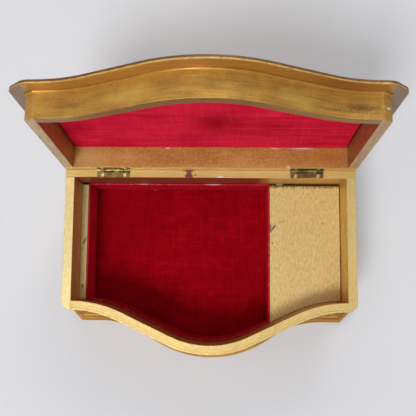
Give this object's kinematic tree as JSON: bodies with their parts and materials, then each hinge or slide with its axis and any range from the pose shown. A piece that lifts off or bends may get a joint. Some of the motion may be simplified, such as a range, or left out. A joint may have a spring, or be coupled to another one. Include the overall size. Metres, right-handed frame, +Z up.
{
  "type": "musical jewellery box",
  "caption": "Serpentine-front gilded wooden music box: open hinged lid, velvet-lined jewel tray, covered musical movement and a winding key under the base.",
  "frame": {"origin": "on the ground under the centre of the open box's bounding box", "axes": "+X along the back, to the right as seen from the bowed front; -Y towards the bowed front; +Z up"},
  "size_m": [0.2474, 0.188, 0.2253],
  "materials": {
    "gilt_wood": "gold paint over wood, satin, worn",
    "gilt_moulding": "antique gold paint over a wood moulding",
    "gilt_bead": "bright gold paint",
    "plain_wood": "raw softwood",
    "tray_velvet": "red velvet glued on card",
    "lid_velvet": "red velvet glued on card",
    "hinge_brass": "aged brass",
    "pin_steel": "dull steel",
    "screw_brass": "brass",
    "movement_brass": "machined brass",
    "movement_iron": "plated casting",
    "movement_steel": "bright steel",
    "lever_steel": "bright steel",
    "key_steel": "plated steel",
    "fan_plastic": "thin moulded plastic"
  },
  "bodies": {
    "case": {"plinth": "gilt_moulding", "front_wall": "gilt_wood", "left_wall": "gilt_wood", "right_wall": "gilt_wood", "back_wall": "gilt_wood", "bottom_board": "plain_wood", "tray_floor": "tray_velvet", "tray_front_liner": "tray_velvet", "tray_left_liner": "tray_velvet", "tray_right_liner": "tray_velvet", "tray_back_liner": "tray_velvet", "tray_spacer": "gilt_wood", "movement_divider": "plain_wood", "panel_cleat": "plain_wood", "movement_cover": "gilt_wood", "brads": "pin_steel", "hinge_leaf_case_left": "hinge_brass", "hinge_leaf_case_right": "hinge_brass", "hinge_pin_left": "pin_steel", "hinge_pin_right": "pin_steel", "hinge_screws_case": "screw_brass", "bedplate": "movement_iron", "movement_screws": "movement_steel", "cylinder_bearing_front": "movement_iron", "cylinder_bearing_rear": "movement_iron", "tone_comb": "movement_steel", "comb_base": "movement_iron", "comb_screws": "movement_steel", "governor_frame": "movement_brass", "stop_screw": "movement_steel"},
    "lid": {"lid_front_rail": "gilt_wood", "lid_left_rail": "gilt_wood", "lid_right_rail": "gilt_wood", "lid_back_rail": "gilt_wood", "lid_top_board": "gilt_moulding", "lid_lining": "lid_velvet", "lid_bead": "gilt_bead", "hinge_leaf_lid_left": "hinge_brass", "hinge_leaf_lid_right": "hinge_brass", "hinge_screws_lid": "screw_brass"},
    "winder": {"winding_arbor": "movement_steel", "winding_key": "key_steel"},
    "barrel": {"spring_barrel": "movement_brass", "mainspring": "movement_steel", "crown_wheel": "movement_brass"},
    "cylinder": {"tune_cylinder": "movement_brass", "cylinder_arbor": "movement_steel", "cylinder_pinion": "movement_steel", "cylinder_gear": "movement_brass"},
    "governor": {"governor_pinion": "movement_steel", "governor_wheel": "movement_brass"},
    "fan": {"governor_worm": "movement_steel", "governor_fan": "fan_plastic"},
    "stop": {"stop_lever": "lever_steel"}
  },
  "joints": [
    {"name": "lid_hinge", "type": "hinge", "parent": "case", "child": "lid", "pos_m": [0, 0.05591, 0.07915], "axis": [1, 0, 0], "range_deg": [0, 96.6]},
    {"name": "key_turn", "type": "hinge", "parent": "case", "child": "winder", "pos_m": [0.078, 0.00091, 0.02], "axis": [0, 0, 1], "continuous": true},
    {"name": "governor_wheel_spin", "type": "hinge", "parent": "case", "child": "governor", "pos_m": [0.0682, 0.03821, 0.0364], "axis": [0, 1, 0], "continuous": true},
    {"name": "cylinder_spin", "type": "hinge", "parent": "case", "child": "cylinder", "pos_m": [0.078, 0.024, 0.0364], "axis": [0, 1, 0], "continuous": true},
    {"name": "barrel_spin", "type": "hinge", "parent": "case", "child": "barrel", "pos_m": [0.078, 0.00091, 0.027], "axis": [0, 0, 1], "continuous": true},
    {"name": "fan_spin", "type": "hinge", "parent": "case", "child": "fan", "pos_m": [0.06095, 0.03821, 0.03], "axis": [0, 0, 1], "continuous": true},
    {"name": "stop_lever_turn", "type": "hinge", "parent": "case", "child": "stop", "pos_m": [0.0555, 0.03821, 0.024], "axis": [0, 0, 1], "range_deg": [0, 4]}
  ],
  "couplings": [
    {"joint": "cylinder_spin", "follows": "governor_wheel_spin", "ratio": -0.16667},
    {"joint": "barrel_spin", "follows": "governor_wheel_spin", "ratio": -0.041667},
    {"joint": "fan_spin", "follows": "governor_wheel_spin", "ratio": -30}
  ]
}
